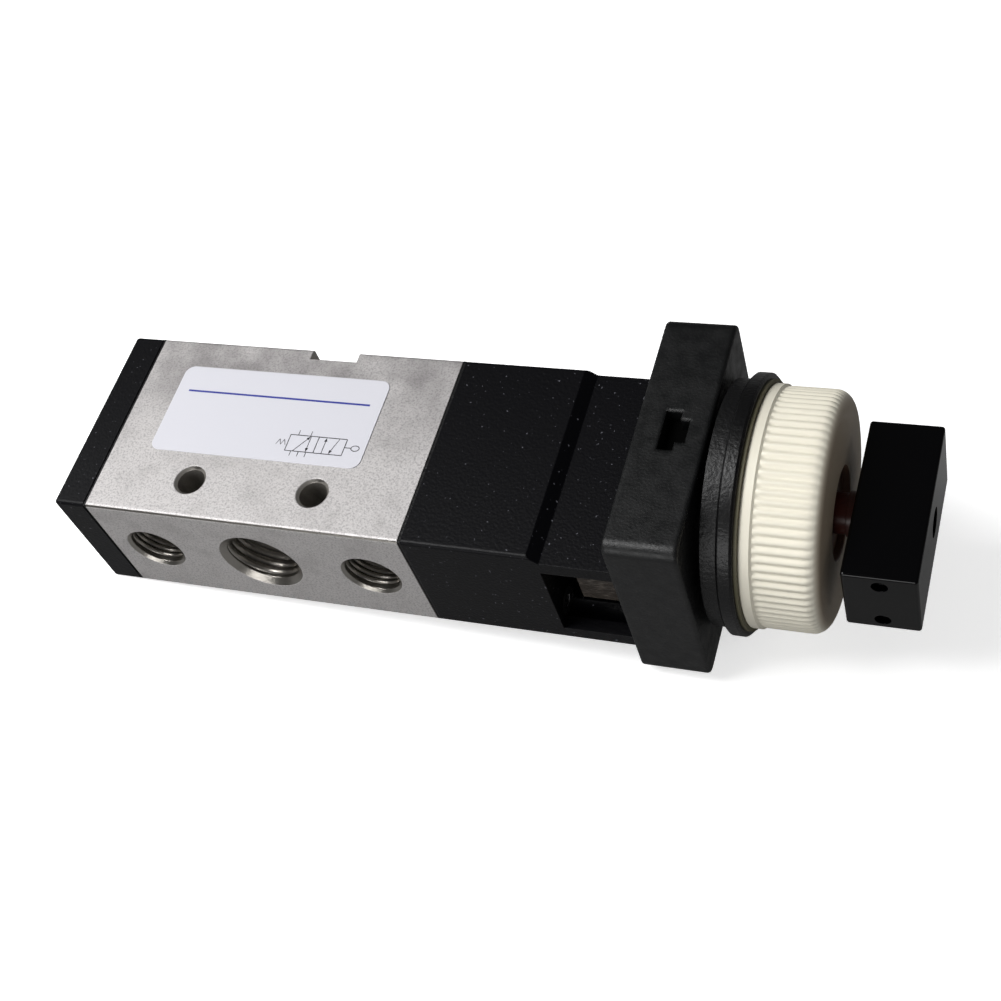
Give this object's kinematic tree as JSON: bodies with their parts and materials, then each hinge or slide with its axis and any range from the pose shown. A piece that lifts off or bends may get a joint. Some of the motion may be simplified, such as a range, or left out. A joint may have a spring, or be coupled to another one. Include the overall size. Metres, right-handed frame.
{
  "type": "hand lever air valve",
  "caption": "Panel-mount 5/2 hand lever air valve with tapped side ports, a square head and a clamping nut behind its turn lever.",
  "frame": {"origin": "where the operator axis meets the panel seat, the front face of the square head", "axes": "+X along the operator axis towards the lever, +Z the label side, -Y the side with the supply and exhaust ports"},
  "size_m": [0.1313, 0.0404, 0.0381],
  "materials": {
    "body_silver": "bead blasted",
    "body_black": "fine sparkle grain",
    "head_charcoal": "satin",
    "gasket_rubber": "matte",
    "bezel_black": "satin",
    "washer_olive": "matte",
    "nut_ivory": "satin",
    "knob_black": "gloss",
    "shaft_brown": "gloss",
    "label_film": "satin",
    "steel": "satin",
    "brass": "turned",
    "spool_alloy": "turned",
    "cam_plastic": "satin"
  },
  "bodies": {
    "valve": {"valve_body": "body_silver", "end_cap": "body_black", "end_cap_gasket": "gasket_rubber", "end_cap_screws": "steel", "label": "label_film", "return_spring": "steel", "adapter_gasket": "gasket_rubber", "adapter_housing": "body_black", "adapter_screws": "steel", "pilot_sleeve": "brass", "pilot_oring": "gasket_rubber", "pilot_spring": "steel", "shaft_bush": "brass", "head_housing": "head_charcoal", "latch_keys": "body_black", "detent_ball": "steel", "detent_spring": "steel", "detent_screw": "steel"},
    "lever": {"lever_knob": "knob_black", "knob_screw": "steel", "lever_shaft": "shaft_brown", "shaft_oring": "gasket_rubber", "cam_drum": "cam_plastic", "drum_pin": "steel"},
    "pusher": {"cam_follower": "cam_plastic", "pusher_block": "body_black"},
    "pilot": {"pilot_poppet": "steel"},
    "spool_stem": {"spool": "spool_alloy", "spool_seals": "gasket_rubber", "drive_piston": "spool_alloy", "piston_seal": "gasket_rubber"},
    "clamp_stack": {"panel_gasket": "gasket_rubber", "bezel_ring": "bezel_black", "nut_washer": "washer_olive"},
    "nut": {"clamp_nut": "nut_ivory"}
  },
  "joints": [
    {"name": "lever_turn", "type": "hinge", "parent": "valve", "child": "lever", "pos_m": [0, 0, 0], "axis": [1, 0, 0], "range_deg": [0, 90]},
    {"name": "pusher_slide", "type": "slide", "parent": "valve", "child": "pusher", "axis": [-1, 0, 0], "range_m": [0, 0.00201]},
    {"name": "pilot_slide", "type": "slide", "parent": "valve", "child": "pilot", "axis": [-1, 0, 0], "range_m": [0, 0.00201], "deforming": ["pilot_spring"]},
    {"name": "spool_slide", "type": "slide", "parent": "valve", "child": "spool_stem", "axis": [-1, 0, 0], "range_m": [0, 0.00321], "deforming": ["return_spring"]},
    {"name": "stack_slide", "type": "slide", "parent": "valve", "child": "clamp_stack", "axis": [1, 0, 0], "range_m": [0, 0.00151]},
    {"name": "nut_turn", "type": "hinge", "parent": "clamp_stack", "child": "nut", "pos_m": [0.0062, 0, 0], "axis": [1, 0, 0], "range_deg": [0, 360]}
  ],
  "couplings": [
    {"joint": "pusher_slide", "follows": "lever_turn", "m_per_rad": 0.0012732},
    {"joint": "pilot_slide", "follows": "lever_turn", "m_per_rad": 0.0012732},
    {"joint": "spool_slide", "follows": "lever_turn", "m_per_rad": 0.0020372},
    {"joint": "stack_slide", "follows": "nut_turn", "m_per_rad": 0.00023873}
  ]
}
